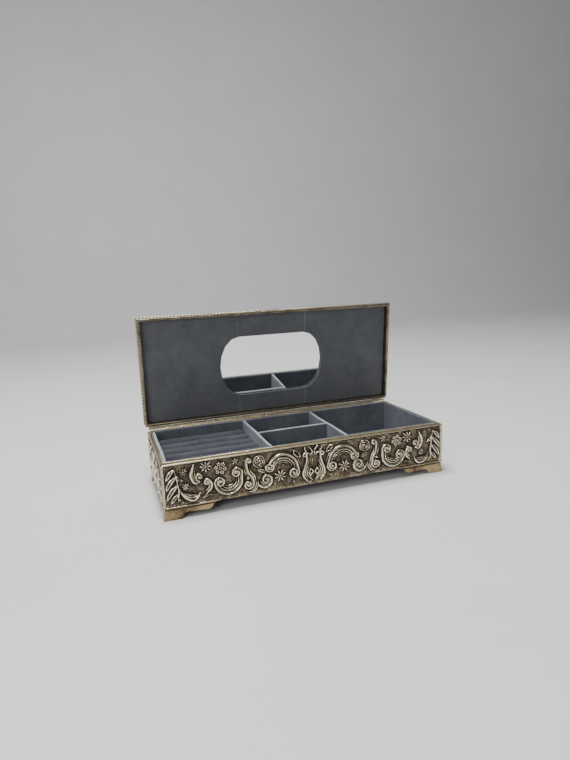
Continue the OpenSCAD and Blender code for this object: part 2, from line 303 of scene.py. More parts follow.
def sweptFrame(lowX, highX, lowY, highY, profile):
    # sweeps a profile of (inset, height) points round a rectangle by extruding one mitred loop after another
    bm = bmesh.new()

    verts = [bm.verts.new((x, y, 0)) for x, y in ((lowX, lowY), (highX, lowY), (highX, highY), (lowX, highY))]
    first = loop = [bm.edges.new((verts[i], verts[(i + 1) % 4])) for i in range(4)]
    for k, (inset, height) in enumerate(profile):
        if k:
            verts, loop = drawOn(bm, loop)
        for v in verts:
            v.co.x = lowX + inset if v.co.x < (lowX + highX) / 2 else highX - inset
            v.co.y = lowY + inset if v.co.y < (lowY + highY) / 2 else highY - inset
            v.co.z = height
    return bm, first, loop


# raised work: a sheet of heights on which ridges, leaves and flowers are pressed, in millimetres;
# each share below is a part of the sheet's own full height, "high"

def newSheet(width, low, top, cell, high):
    columns, rows = round(width / cell), round((top - low) / cell)
    return {"u": np.linspace(-width / 2, width / 2, columns + 1), "v": np.linspace(low, top, rows + 1),
            "h": np.zeros((rows + 1, columns + 1)), "high": high}


def flipped(sheet, side, turned=1, middle=0.0):
    # the same sheet seen mirrored, so that one drawing serves both halves
    return {"u": side * sheet["u"][::side], "v": turned * (sheet["v"] - middle)[::turned],
            "h": sheet["h"][::turned, ::side], "high": sheet["high"]}


def smoothLine(points, steps=7):
    # a Catmull-Rom curve through the points
    p = np.array([2 * np.array(points[0]) - points[1], *points, 2 * np.array(points[-1]) - points[-2]], float)
    out = []
    for i in range(1, len(p) - 2):
        for t in np.linspace(0, 1, steps, endpoint=False):
            out.append(0.5 * (2 * p[i] + (p[i + 1] - p[i - 1]) * t
                              + (2 * p[i - 1] - 5 * p[i] + 4 * p[i + 1] - p[i + 2]) * t * t
                              + (3 * p[i] - 3 * p[i + 1] + p[i + 2] - p[i - 1]) * t ** 3))
    out.append(p[-2])
    return np.array(out)


def bow(x, z, rx, rz, start, end):
    a = np.radians(np.linspace(start, end, max(6, int(abs(end - start) / 8))))
    return np.stack([x + rx * np.cos(a), z + rz * np.sin(a)], 1)


def curl(x, z, radius, start, turns, way, eye=0.9):
    # a spiral from its outside to its eye
    t = np.linspace(0, 1, int(26 * turns) + 2)
    a = np.radians(start + way * 360 * turns * t)
    r = radius + (eye - radius) * t ** 0.8
    return np.stack([x + r * np.cos(a), z + r * np.sin(a)], 1)


def joined(first, spine, last):
    # first and last are curls, and spine the points between them; also gives the part between the curls
    middle = smoothLine([first[0]] + [np.array(p, float) for p in spine] + [last[0]])
    return np.concatenate([first[::-1], middle[1:], last[1:]]), middle


def beside(path, shift, start=0.0, end=1.0):
    # the same line moved to its right, cut between two shares of its length
    way = np.gradient(path, axis=0)
    way /= np.linalg.norm(way, axis=1)[:, None] + 1e-9
    moved = path + np.stack([way[:, 1], -way[:, 0]], 1) * shift
    a, b = int(start * (len(moved) - 1)), int(end * (len(moved) - 1)) + 1
    return moved[a:b]


def measure(sheet, path, reach):
    # distance from each point of the sheet to the path, and how far along the path its nearest point is
    low, high = path.min(0) - reach, path.max(0) + reach
    cols = slice(*np.searchsorted(sheet["u"], [low[0], high[0]]))
    rows = slice(*np.searchsorted(sheet["v"], [low[1], high[1]]))
    u, v = np.meshgrid(sheet["u"][cols], sheet["v"][rows])
    best, along = np.full(u.shape, 1e9), np.zeros(u.shape)
    steps = np.linalg.norm(np.diff(path, axis=0), axis=1)
    reached = np.concatenate([[0], np.cumsum(steps)])
    total = max(reached[-1], 1e-6)
    for k, step in enumerate(steps):
        if step < 1e-9:
            continue
        dx, dz = (path[k + 1] - path[k]) / step
        t = np.clip((u - path[k][0]) * dx + (v - path[k][1]) * dz, 0, step)
        d = np.hypot(u - path[k][0] - t * dx, v - path[k][1] - t * dz)
        nearer = d < best
        best = np.where(nearer, d, best)
        along = np.where(nearer, (reached[k] + t) / total, along)
    return (rows, cols), best, along


def press(sheet, path, half, share=1.0, widths=(1, 1)):
    # raises a ridge along a path; widths scales its half width at even steps along it
    place, d, along = measure(sheet, np.asarray(path, float), half + 0.3)
    w = half * np.interp(along, np.linspace(0, 1, len(widths)), widths) + 1e-6
    rise = sheet["high"] * share * np.minimum(1, w / half + 0.25) * np.clip(1 - (d / w) ** 2, 0, 1) ** 0.5
    sheet["h"][place] = np.maximum(sheet["h"][place], rise)


def carve(sheet, path, half, share):
    place, d, along = measure(sheet, np.asarray(path, float), half + 0.2)
    ends = np.clip(np.minimum(along, 1 - along) * 8, 0.15, 1)
    cut = sheet["high"] * share * np.clip(1 - (d / half) ** 2, 0, 1) * ends
    sheet["h"][place] = np.maximum(sheet["h"][place] - cut, 0)


def band(sheet, line, half, widths, inner):
    # a scroll's main band, with a shallow channel along the side that faces its hollow
    press(sheet, line, half, 1, widths)
    carve(sheet, beside(line, inner * half * 0.34, 0.12, 0.88), half * 0.36, 0.42)


def ribs(sheet, line, rows):
    # lesser ridges: how far to the line's right, from and to which share of it, half width, height and widths
    for shift, start, end, half, share, widths in rows:
        press(sheet, beside(line, shift, start, end), half, share, widths)


def boss(sheet, x, z, radius, share=1.0):
    place, d, _ = measure(sheet, np.array([[x, z], [x + 0.01, z]]), radius)
    rise = sheet["high"] * share * np.sqrt(np.clip(1 - (d / radius) ** 2, 0, 1))
    sheet["h"][place] = np.maximum(sheet["h"][place], rise)


def bosses(sheet, rows):
    for row in rows:
        boss(sheet, *row)


def leaf(sheet, base, tip, half, share, bend=0.0, vein=True):
    base, tip = np.array(base, float), np.array(tip, float)
    across = np.array([-(tip - base)[1], (tip - base)[0]]) * bend
    line = smoothLine([base, (base + tip) / 2 + across, tip], 8)
    press(sheet, line, half, share, (0.25, 0.85, 1, 0.75, 0.12))
    if vein:
        carve(sheet, line, half * 0.32, share * 0.55)
    return line


def obliqueLeaf(sheet, base, tip):
    line = leaf(sheet, base, tip, 1.9, 0.8, 0.1)
    carve(sheet, line + [0.3, 0.8], 0.25, 0.3)


def loopLeaf(sheet, a, b, half, ridge, share=1.0):
    # an open leaf: a ridge round its edge and a hollow inside
    a, b = np.array(a, float), np.array(b, float)
    along, across = b - a, np.array([-(b - a)[1], (b - a)[0]]) / np.linalg.norm(b - a)
    turn = np.linspace(0, 2 * np.pi, 33)
    x = 0.5 - 0.5 * np.cos(turn)
    y = half * np.sin(turn) * np.sqrt(np.abs(np.sin(turn)))
    press(sheet, a + np.outer(x, along) + np.outer(y, across), ridge, share)


def starFlower(sheet, x, z, radius, petals, share, turn=0.0, slim=0.16):
    centre = np.array([x, z])
    for k in range(petals):
        a = radians(turn + 360 * k / petals)
        way = np.array([cos(a), sin(a)])
        line = np.array([centre + way * radius * f for f in (0.22, 0.5, 0.8, 1.0)])
        press(sheet, line, radius * slim, share, (0.5, 1, 1.15, 0.5))
    boss(sheet, x, z, radius * 0.2, share * 1.1)


def rosette(sheet, x, z, radius, share=1.0):
    for ring, (out, count, thick) in enumerate(((0.88, 5, 0.125), (0.56, 4, 0.12), (0.27, 2, 0.10))):
        for k in range(count):
            start = 360 * k / count + 35 * ring
            r = radius * out
            petal = bow(x, z, r, r, start, start + 360 / count * 1.12)
            drift = np.linspace(-0.07, 0.07, len(petal))[:, None] * radius
            petal = petal + (petal - [x, z]) / r * drift
            press(sheet, petal, radius * thick, share * (0.8 + 0.1 * ring), (0.5, 1, 1, 0.5))
    boss(sheet, x, z, radius * 0.14, share)


def posy(sheet, x, z, radius):
    # a bunch of little five-petalled flowers
    for k in range(7):
        a, r = radians(60 * k + 12), (0 if k == 6 else radius * 0.66)
        cx, cz = x + r * cos(a), z + r * sin(a)
        for j in range(5):
            b = radians(72 * j + 20 * k)
            boss(sheet, cx + radius * 0.2 * cos(b), cz + radius * 0.2 * sin(b), radius * 0.15, 0.8)


def archScroll(sheet, near, far, crown):
    # opens downwards: a broad band with a curl at each end, and three lesser ribs nested inside its bow
    cx, top = crown
    r = 12.6 * (far[0] - near[0]) / 19.6
    line, bowLine = joined(curl(*near, 4.2, 182, 1.25, 1, 2.1),
                           list(bow(cx, top - 1.1 - r, r, r, 166, 28)[::2]),
                           curl(*far, 3.7, 12, 1.4, -1, 1.1))
    band(sheet, line, 1.25, (0.75, 0.75, 0.85, 0.95, 1.05, 1.15, 1.15, 1.1, 1, 0.85, 0.8, 0.8), 1)
    bosses(sheet, ((near[0] + 0.1, near[1] - 0.1, 1.65), (near[0] - 0.1, near[1] + 3.2, 0.8, 1.15)))
    ribs(sheet, bowLine, ((2.45, 0.08, 0.98, 0.78, 0.95, (0.5, 1, 1, 1, 0.5)),
                          (4.25, 0.12, 0.92, 0.74, 0.88, (0.5, 1, 1, 0.5)),
                          (5.9, 0.20, 0.78, 0.62, 0.78, (0.4, 1, 1, 0.4)),
                          (-2.2, 0.04, 0.36, 0.55, 0.8, (0.3, 1, 0.3))))


def bigScroll(sheet, near, far, low):
    # opens upwards between two curls, three ribs deep along its bottom
    cx, bottom = low
    line, bowLine = joined(curl(*near, 4.1, 168, 1.45, -1, 1.2),
                           list(bow(cx, bottom + 11.6, 10.5, 10.4, 194, 334)[::2]),
                           curl(*far, 4.2, 0, 1.45, 1, 1.2))
    band(sheet, line, 1.25, (0.8, 0.75, 0.85, 0.95, 1.1, 1.2, 1.2, 1.1, 0.95, 0.8, 0.75, 0.8), -1)
    ribs(sheet, bowLine, ((-2.5, 0.03, 0.95, 0.78, 0.95, (0.4, 1, 1.1, 1, 0.4)),
                          (-4.3, 0.08, 0.88, 0.74, 0.88, (0.4, 1, 1.1, 0.4)),
                          (-6.0, 0.20, 0.72, 0.66, 0.75, (0.3, 1, 0.3))))
    bosses(sheet, ((*near, 1.2), (*far, 1.2)))


def smallScroll(sheet, x, z):
    # a short scroll that opens upwards, with its curl on the inner side
    line, bowLine = joined(curl(x, z, 4.0, 186, 1.1, -1, 1.5),
                           [(x - 3.0, z - 3.6), (x + 0.8, z - 5.9), (x + 5.0, z - 4.6)],
                           np.array([(x + 8.2, z - 0.4)] * 2))
    band(sheet, line, 1.45, (0.6, 0.75, 0.9, 1, 1.15, 1.15, 0.95, 0.2), -1)
    ribs(sheet, bowLine, ((-2.5, 0.15, 0.97, 0.75, 0.9, (0.4, 1, 1, 0.2)),))
    boss(sheet, x + 0.1, z, 1.1)


def sScroll(sheet, topX, topZ, lowX, lowZ):
    line, stem = joined(curl(topX, topZ, 2.5, 0, 1.0, 1, 0.9),
                        [(topX + 2.2, topZ - 4.2), (topX + 1.3, topZ - 8.6), (lowX - 3.0, lowZ + 5.8)],
                        curl(lowX, lowZ, 3.9, 168, 1.25, 1, 1.4))
    band(sheet, line, 1.3, (0.55, 0.7, 0.85, 1, 1.1, 1.1, 0.95, 0.8, 0.7), -1)
    ribs(sheet, stem, ((2.1, 0.3, 0.98, 0.7, 0.9, (0.3, 1, 1, 0.6)),
                       (-2.1, 0.12, 0.7, 0.6, 0.8, (0.3, 1, 0.4))))
    press(sheet, bow(lowX, lowZ + 0.4, 6.1, 6.2, 146, 290), 0.7, 0.9, (0.3, 1, 1, 0.4))
    press(sheet, bow(lowX, lowZ + 0.4, 7.8, 7.6, 158, 262), 0.65, 0.8, (0.3, 1, 1, 0.3))
    bosses(sheet, ((topX - 0.3, topZ - 0.5, 1.3, 1.05), (lowX + 0.3, lowZ, 1.5),
                   (lowX + 0.2, lowZ + 5.2, 1.2, 1.1)))
    press(sheet, [(lowX - 1.4, lowZ + 5.3), (lowX + 1.8, lowZ + 5.1)], 0.7, 1, (0.5, 1, 0.5))


def hornScroll(sheet, x, z):
    # a horn that drops from the top rail and curls in at its foot
    line, stem = joined(curl(x, z + 0.4, 3.5, -78, 1.15, 1, 1.0),
                        [(x + 3.6, z - 3.4), (x + 5.9, z + 1.6), (x + 5.2, z + 6.6)],
                        np.array([(x + 3.4, z + 10.8)] * 2))
    band(sheet, line, 1.6, (0.45, 0.6, 0.75, 0.9, 1.1, 1.1, 0.85, 0.35), -1)
    ribs(sheet, stem, ((-2.4, 0.25, 0.92, 0.65, 0.85, (0.3, 1, 0.3)),))
    boss(sheet, x + 0.1, z + 0.3, 1.2)


def hookScroll(sheet, x, z):
    line, stem = joined(curl(x, z + 2.6, 2.2, 60, 0.9, -1, 1.0),
                        [(x - 1.2, z + 4.6), (x - 3.0, z + 1.4), (x - 2.6, z - 2.6)],
                        np.array([(x + 1.4, z - 6.6)] * 2))
    press(sheet, line, 1.05, 1, (0.6, 0.9, 1, 1.1, 1.1, 0.5))
    ribs(sheet, stem, ((-1.9, 0.35, 1.0, 0.75, 0.9, (0.3, 1, 0.4)),))
    boss(sheet, x, z + 2.5, 1.0)


def crescent(sheet, a, low, b):
    # a long leaf that lies like a new moon, ribbed along its inside
    outer = smoothLine([a, ((a[0] + low[0]) / 2 - 1.0, (a[1] + low[1]) / 2 - 1.2), (low[0], low[1] + 0.4),
                        ((b[0] + low[0]) / 2 + 1.2, (b[1] + low[1]) / 2 - 1.4), b], 9)
    press(sheet, outer, 1.3, 1, (0.2, 0.8, 1.1, 1.1, 0.8, 0.15))
    for step, rib in ((1.15, 0.75), (2.0, 0.6)):
        inside = outer[3:-3] + np.outer(np.sin(np.linspace(0, np.pi, len(outer) - 6)), [0, 2.0 * step])
        press(sheet, inside, rib, 1.05 - 0.12 * step, (0.2, 0.9, 1.2, 0.9, 0.2))


def palm(sheet, x):
    # the corner's acanthus: broad drooping leaves on the outside, short ones inside
    stem = [(x + 1.0, 39.4), (x - 0.2, 33), (x - 1.0, 27.4), (x - 1.6, 21), (x - 0.6, 13.4)]
    press(sheet, smoothLine(stem), 0.8, 0.9, (0.3, 0.8, 0.7, 1, 0.5))
    for points, half, share in ((((0.8, 38.4), (4.2, 35.8), (7.4, 30.4)), 1.75, 1),
                                (((-0.2, 32.6), (3.0, 30.2), (5.6, 26.8), (7.4, 22.6)), 1.85, 1),
                                (((-1.0, 26.0), (2.2, 23.6), (5.0, 20.0), (7.4, 15.4)), 1.95, 1),
                                (((-1.4, 19.4), (1.6, 16.8), (4.8, 12.2)), 1.6, 0.9),
                                (((-0.4, 34.6), (-1.8, 31.0), (-5.6, 29.0)), 1.2, 1),
                                (((-1.4, 15.8), (-2.8, 13.2), (-5.2, 12.0)), 1.0, 0.75)):
        line = smoothLine([(x + out, z) for out, z in points])
        press(sheet, line, half, share, (0.35, 0.85, 1.1, 1.1, 0.8, 0.2))
        carve(sheet, line[3:-3], half * 0.36, share * 0.85)


def lyre(sheet):
    # the middle of the long walls, drawn from the outside of each arm inwards
    for side, topX, topZ in ((-1, -8.0, 34.2), (1, 6.8, 34.0)):
        def out(x, z):
            return side * x - 0.5, z                    # the lyre stands half a millimetre off the middle

        arm = smoothLine([out(6.0, topZ + 1.2), out(6.0, 30.4), out(7.4, 25.8), out(9.0, 21.0),
                          out(8.9, 16.4), out(5.6, 12.4)], 9)
        press(sheet, curl(topX, topZ, 2.0, 0 if side < 0 else 180, 0.95, -side, 0.9), 0.75, 1, (1, 1, 0.8))
        press(sheet, arm, 1.0, 1, (0.6, 0.9, 0.9, 1, 1, 0.8))
        ribs(sheet, arm, [(side * shift, begin, 1, 0.68, share, (0.4, 1, 1, 0.6))
                          for shift, begin, share in ((1.75, 0.2, 0.95), (3.3, 0.42, 0.88), (4.8, 0.6, 0.8))])
        press(sheet, curl(*out(3.0, 19.6), 2.5, 90, 0.9, side, 1.2), 0.8, 1, (0.9, 1, 0.8))
        bosses(sheet, ((*out(2.6, 18.0), 1.15, 1.05), (*out(3.2, 21.9), 0.9, 1.1)))
        press(sheet, smoothLine([out(4.4, 16.6), out(2.8, 14.4), out(1.0, 12.6)]), 0.8, 0.8, (0.8, 1, 0.5))
        loopLeaf(sheet, (side * 7.0 - 0.8, 41.2), (side * 1.1 - 0.8, 35.0), 2.2, 0.62)
        press(sheet, [(side * 1.0 - 1.0, 35.2), (side * 2.6 - 1.0, 33.4)], 0.5, 0.6)
    bosses(sheet, ((-1.4, 29.4, 0.75, 0.8), (-1.4, 27.6, 0.6, 0.6)))
    press(sheet, [(-3.4, 33.6), (1.0, 33.6)], 0.6, 0.5, (0.3, 1, 0.3))


# the long wall's ornaments from its middle outwards: their places on the right and on the left half, as
# distance from the middle and height above the table, and then the rest of what draws them
longWallWork = (
    (archScroll, ((15.6, 21.9), (35.2, 27.7), (25.2, 38.1)), ((17.5, 21.7), (36.9, 28.8), (26.8, 38.6)), ()),
    (starFlower, (26.5, 20.2), (28.8, 20.9), (4.9, 8, 0.8, 22.5)),
    (loopLeaf, ((15.9, 39.6), (10.9, 34.6)), ((17.4, 39.6), (12.1, 33.6)), (1.5, 0.5, 0.8)),
    (boss, (14.6, 14.6), (17.5, 14.0), (0.9, 0.7)),
    (rosette, (45.1, 34.5), (45.9, 34.9), (5.0,)),
    (obliqueLeaf, ((41.6, 24.9), (49.2, 27.9)), ((40.8, 25.2), (48.2, 28.2)), ()),
    (smallScroll, (39.2, 20.0), (40.4, 19.6), ()),
    (sScroll, (53.4, 36.0, 55.6, 17.8), (53.7, 36.4, 54.9, 17.7), ()),
    (bigScroll, ((65.6, 28.6), (77.9, 21.9), (72.0, 12.0)), ((63.9, 29.0), (76.8, 23.3), (70.4, 12.4)), ()),
    (starFlower, (85.4, 36.2), (87.0, 37.4), (4.6, 8, 0.75, 0, 0.15)),
    (posy, (75.2, 34.6), (76.0, 34.4), (5.2,)),
    (starFlower, (62.3, 38.0), (64.6, 38.2), (2.6, 5, 0.6, 18, 0.26)),
    (hornScroll, (93.2, 29.2), (92.2, 29.9), ()),
    (hookScroll, (87.0, 22.4), (86.6, 22.8), ()),
    (starFlower, (102.2, 36.9), (103.9, 35.6), (3.2, 9, 0.6, 10, 0.13)),
    (starFlower, (99.2, 21.0), (102.6, 24.2), (3.0, 8, 0.65, 0, 0.18)),
    (crescent, ((92.3, 18.2), (98.0, 11.6), (106.6, 19.4)), ((92.0, 19.0), (98.4, 12.6), (107.6, 24.0)), ()),
    (leaf, ((82.2, 14.4), (91.6, 12.0)), ((82.0, 14.6), (92.0, 12.6)), (1.3, 0.85, 0.12)),
    (palm, (109.8,), (109.6,), ()),
)


def longWall(sheet):
    lyre(sheet)
    for side in (-1, 1):
        half = flipped(sheet, side)
        for draw, right, left, rest in longWallWork:
            draw(half, *(right if side > 0 else left), *rest)


def endWall(sheet):
    sheet = {**sheet, "high": sheet["high"] * 1.2}
    for side in (-1, 1):
        half = flipped(sheet, side)
        bigScroll(half, (12.9, 28.8), (25.4, 22.0), (19.6, 12.0))
        rosette(half, 30.4, 34.2, 4.6)
        starFlower(half, 21.6, 35.4, 4.2, 8, 0.8, 0, 0.15)
        leaf(half, (28.6, 14.4), (35.8, 12.0), 1.4, 0.85, 0.12)
        hookScroll(half, 31.2, 22.8)
        loopLeaf(half, (9.4, 40.6), (4.4, 35.4), 1.9, 0.6, 0.9)
        arm = smoothLine([(2.4, 30.6), (5.6, 27.6), (6.6, 22.0), (3.8, 16.6), (0.6, 13.0)], 9)
        press(half, arm, 1.15, 1, (0.4, 1, 1.1, 1, 0.6))
        ribs(half, arm, ((1.9, 0.2, 0.95, 0.55, 0.75, (0.4, 1, 0.5)),))
        palm(half, 37.2)
    rosette(sheet, 0, 35.2, 5.0)
    starFlower(sheet, 0, 22.4, 3.6, 8, 0.85, 22.5)


def lidTop(sheet):
    # an oval of roses in the middle, scrolls either side and a leaf band along the edge
    centre = (sheet["v"][0] + sheet["v"][-1]) / 2
    for turned in (1, -1):
        for side in (-1, 1):
            view = flipped(sheet, side, turned, centre)
            for draw, *how in (
                    (archScroll, (44.0, 12.0), (70.0, 18.4), (57.4, 33.0)),
                    (bigScroll, (76.4, 26.0), (94.0, 18.6), (85.0, 6.4)),
                    (smallScroll, 66.2, 6.8), (rosette, 75.8, 34.6, 4.8),
                    (starFlower, 57.6, 16.0, 5.2, 8, 0.8, 22.5),
                    (starFlower, 92.4, 31.4, 4.6, 8, 0.8, 0, 0.15),
                    (posy, 104.6, 33.8, 5.0), (crescent, (100.2, 13.4), (106.2, 6.2), (112.6, 15.0)),
                    (loopLeaf, (36.4, 37.0), (30.6, 32.4), 2.0, 0.6, 0.9),
                    (starFlower, 108.0, 22.4, 3.4, 9, 0.6, 10, 0.14)):
                draw(view, *how)
            for a in range(8, 90, 16):
                base = np.array([28.0 * cos(radians(a)), 20.0 * sin(radians(a))])
                leaf(view, base * 1.06, base * 1.30 + [1.4, 0], 1.7, 0.85, 0.12)
            press(view, bow(0, 0, 28.0, 20.0, 0, 91), 1.1)
            press(view, bow(0, 0, 25.2, 17.4, 0, 91), 0.55, 0.7)
            loopLeaf(view, (15.6, 9.4), (9.2, 5.6), 1.9, 0.6, 0.9)
            press(view, curl(17.6, 3.4, 2.6, 90, 1.0, 1, 1.0), 0.8, 0.9)
            for k in range(31):
                leaf(view, (3.6 + 3.6 * k, 43.2), (5.8 + 3.6 * k, 40.2), 1.0, 0.5, 0.1, vein=False)
            for k in range(11):
                leaf(view, (116.4, 2.2 + 3.6 * k), (113.6, 4.2 + 3.6 * k), 1.0, 0.5, 0.1, vein=False)
    rosette(sheet, 0, centre, 8.2, 1.05)


def blurred(h, reach):
    # a box blur, twice, by running sums
    for _ in range(2):
        for axis in (0, 1):
            padded = np.concatenate([h.take([0] * reach, axis), h, h.take([-1] * reach, axis)], axis)
            total = np.cumsum(np.concatenate([np.zeros_like(padded.take([0], axis)), padded], axis), axis)
            n = 2 * reach + 1
            size = total.shape[axis]
            h = (total.take(range(n, size), axis) - total.take(range(size - n), axis)) / n
    return h


castFinish = {
    "crevice": 2.0,      # how dark the foot of each ridge is, as oxide and painted shade
    "openGround": 0.33,   # tone of the open ground between ridges
    "lift": 0.31,         # how much brighter the crests are
    "edges": 0.55,        # how much brighter an edge is than what lies around it
    "near": 0.45,         # how far a crevice's dark reaches, in millimetres
    "wide": 1.8,          # how far round a point its surroundings count
    "pits": 0.11,
    "mottle": 0.07,
}
plainMark = 10            # added to the tone of plain strips, to tell them from the antique plate


def crestOf(work, high, cell, seed):
    # tone of the plate: crests rubbed bright, open ground dull, black only in the crevice beside a ridge, as
    # oxide and painted shade
    s = castFinish
    rng = np.random.default_rng(seed)
    fine = blurred(rng.standard_normal(work.shape), 1)
    coarse = blurred(rng.standard_normal(work.shape), 5) * 8
    near = blurred(work, max(1, round(s["near"] / cell))) / high
    wide = blurred(work, max(2, round(s["wide"] / cell))) / high
    level = work / high
    crest = s["openGround"] + s["lift"] * level + s["edges"] * (level - wide)
    # oxide and painted shade darken the foot of each ridge
    crest -= s["crevice"] * np.clip(near - level, 0, 1)
    return crest + s["pits"] * fine * 2 * (level < 0.5) + s["mottle"] * coarse * (level < 0.4), fine


def sheetMesh(sheet, lift, crest):
    # a fine grid displaced by the sheet of heights: x along, z up, raised towards -y
    columns, rows = len(sheet["u"]) - 1, len(sheet["v"]) - 1
    bm = bmesh.new()
    bmesh.ops.create_grid(bm, x_segments=columns, y_segments=rows, size=1)
    layer = bm.verts.layers.float.new("crest")
    for vert in bm.verts:
        i, j = round((vert.co.x + 1) / 2 * columns), round((vert.co.y + 1) / 2 * rows)
        vert.co = (sheet["u"][i], -lift[j, i], sheet["v"][j])
        vert[layer] = crest[j, i]
    return bm, layer


def markPlain(bm, layer):
    # faces between marked points are plain strips and take the second material
    for face in bm.faces:
        if all(vert[layer] > plainMark - 1 for vert in face.verts):
            face.material_index = 1
    for vert in bm.verts:
        vert[layer] = vert[layer] - plainMark if vert[layer] > plainMark - 1 else vert[layer]


panelWork = {
    "cell": 0.31,
    "ground": -0.9,       # the sunk ground behind the raised work
    "high": 1.7,          # the raised work above its ground
    "post": 2.3,          # plain strip at each corner
    "rail": 1.25,         # bright strip under the rim
    "groove": 0.9,        # width of the dark painted shade line under that strip
    "ledge": 1.0,         # bright ledge above each foot
    "ledgeFrom": 78.0,    # how far from the middle the ledges begin on the long walls
    "wall": 2.4,
    "swell": 0.30,        # how far the ground bows out at half height
    "foot": 0.55,         # how far it comes forward along the bottom
    "footTone": 0.16,
    "stripLift": 0.12,
    "ledgeLift": 0.30,
    "stripTone": 0.62,
    "plainTone": 0.85,
    "grooveShade": 0.42,
    "pitDepth": 0.15,
    "seed": 11,
}


def pressedPanel(name, node, width, pattern, stand, seedShift, cell, ledgeFrom):
    s = panelWork
    cell = cell or s["cell"]
    low, high = wallLow / mm, rimZ / mm
    railLow, grooveHalf, plain = high - s["rail"], s["groove"] * 0.5, plainMark + s["plainTone"]
    sheet = newSheet(width, low, high, cell, s["high"])
    pattern(sheet)
    u, v = np.meshgrid(sheet["u"], sheet["v"])
    edge = width / 2 - np.abs(u)
    work = blurred(sheet["h"], 1) * 0.25 + sheet["h"] * 0.75
    work *= np.clip((edge - s["post"]) / 0.5, 0, 1) * np.clip((railLow - grooveHalf - v) / 0.4, 0, 1)
    crest, fine = crestOf(work, s["high"], cell, s["seed"] + seedShift)
    share = np.clip((v - low) / (high - low), 0, 1)
    ground = s["ground"] + s["swell"] * np.sin(share * np.pi) + s["pitDepth"] * fine * (work < 0.3)
    ground += s["foot"] * np.clip(1 - (v - low) / 4.2, 0, 1)
    crest += s["footTone"] * np.clip(1 - (v - low) / 3.4, 0, 1)
    lift = ground + work
    ledge = np.clip((low + s["ledge"] - v) / 0.2, 0, 1) * np.clip((np.abs(u) - ledgeFrom) / 1.5, 0, 1)
    rail = np.clip((v - railLow) / 0.22, 0, 1)
    strip = np.maximum(np.maximum(rail, np.clip((s["post"] - edge) / 0.35, 0, 1)), ledge)
    stripLift = s["stripLift"] + s["ledgeLift"] * (ledge > 0.5)
    lift = np.where(strip > 0, np.maximum(lift, lift * (1 - strip) + stripLift * strip), lift)
    crest = np.where(strip > 0.5, s["stripTone"] + 0.10 * fine, crest)
    crest = np.where(np.maximum(rail, ledge) > 0.5, plain, crest)
    # painted shade: a dark line under the rail strip and another just above each ledge
    darkLine = np.clip(1 - np.abs(v - (railLow - grooveHalf)) / grooveHalf, 0, 1)
    overLedge = np.clip(1 - np.abs(v - low - s["ledge"] - 0.3) / 0.35, 0, 1) * (ledge.max(0) > 0.5)
    crest -= s["grooveShade"] * np.maximum(darkLine, overLedge) * (strip < 0.5) * (edge > s["post"])
    lift -= 0.35 * np.clip(1 - (high - v) / 0.5, 0, 1) ** 2 + 0.3 * np.clip(1 - (v - low) / 0.5, 0, 1) ** 2
    bm, layer = sheetMesh(sheet, lift, crest)
    drawn, back = drawOn(bm, [e for e in bm.edges if e.is_boundary])
    for vert in drawn:
        vert.co.y = s["wall"]
        if abs(vert.co.x) > width / 2 - 0.01:
            vert.co.x -= copysign(s["wall"], vert.co.x)
        vert[layer] = plain
    bmesh.ops.contextual_create(bm, geom=back)
    bmesh.ops.recalc_face_normals(bm, faces=bm.faces)
    markPlain(bm, layer)
    bmesh.ops.transform(bm, matrix=stand @ Matrix.Scale(mm, 4), verts=bm.verts)
    makePiece(bm, name, [antique, rimSilver], "base", [node], 50)


print("walls")
longSide, shortSide = (bodyRight - bodyLeft) / mm, (bodyBack - bodyFront) / mm
for side, width, pattern, place, turn, seedShift, cell, ledgeFrom in (
        ("front", longSide, longWall, (0, bodyFront, 0), 0, 0, None, panelWork["ledgeFrom"]),
        ("back", longSide, longWall, (0, bodyBack, 0), 180, 3, 0.40, panelWork["ledgeFrom"]),
        ("left", shortSide, endWall, (bodyLeft, bodyMid, 0), -90, 5, None, 0),
        ("right", shortSide, endWall, (bodyRight, bodyMid, 0), 90, 7, None, 0)):
    stand = Matrix.Translation(place) @ Matrix.Rotation(radians(turn), 4, "Z")
    pressedPanel(side + "Wall", side + "_panel", width, pattern, stand, seedShift, cell, ledgeFrom)


def softened(node, width, segments=2, angle=30, shut=False):
    # a copy of the frame's solid with its loose triangles merged and its edges rounded
    bm = bmesh.new()
    bm.from_mesh(frame["nodes"][node].data)
    if shut:
        bmesh.ops.transform(bm, matrix=shutTurn, verts=bm.verts)
    bmesh.ops.remove_doubles(bm, verts=bm.verts, dist=1e-6)
    bmesh.ops.dissolve_limit(bm, angle_limit=radians(2), verts=bm.verts, edges=bm.edges)
    sharp = [e for e in bm.edges if len(e.link_faces) == 2 and e.calc_face_angle(0) > radians(angle)]
    roundEdges(bm, sharp, width, segments)
    return bm


footForm = {"flare": 0.0009, "waist": 0.0006, "edge": 0.00045, "skin": 0.0026}


def makeFoot(side, end):
    s = footForm
    node = f"foot_{end}_{side}"
    bm = softened(node, s["edge"], 3)
    bmesh.ops.triangulate(bm, faces=bm.faces)
    for z in np.linspace(0.001, wallLow - 0.001, 7):
        bmesh.ops.bisect_plane(bm, geom=bm.verts[:] + bm.edges[:] + bm.faces[:], plane_co=(0, 0, z),
                               plane_no=(0, 0, 1), dist=1e-7)
    for vert in bm.verts:
        spread = s["flare"] * (1 - min(vert.co.z / wallLow, 1)) ** 2.2
        spread -= s["waist"] * max(0, vert.co.z / wallLow - 0.82) / 0.18
        if abs(vert.co.x) > bodyRight - s["skin"]:
            vert.co.x += copysign(1, vert.co.x) * spread
        if abs(vert.co.y - bodyMid) > (bodyBack - bodyMid) - s["skin"]:
            vert.co.y += copysign(1, vert.co.y - bodyMid) * spread
    makePiece(bm, f"{end}{side.capitalize()}Foot", footSilver, "base", [node], 35)


print("feet and rim lip")
for end in ("front", "back"):
    for side in ("left", "right"):
        makeFoot(side, end)

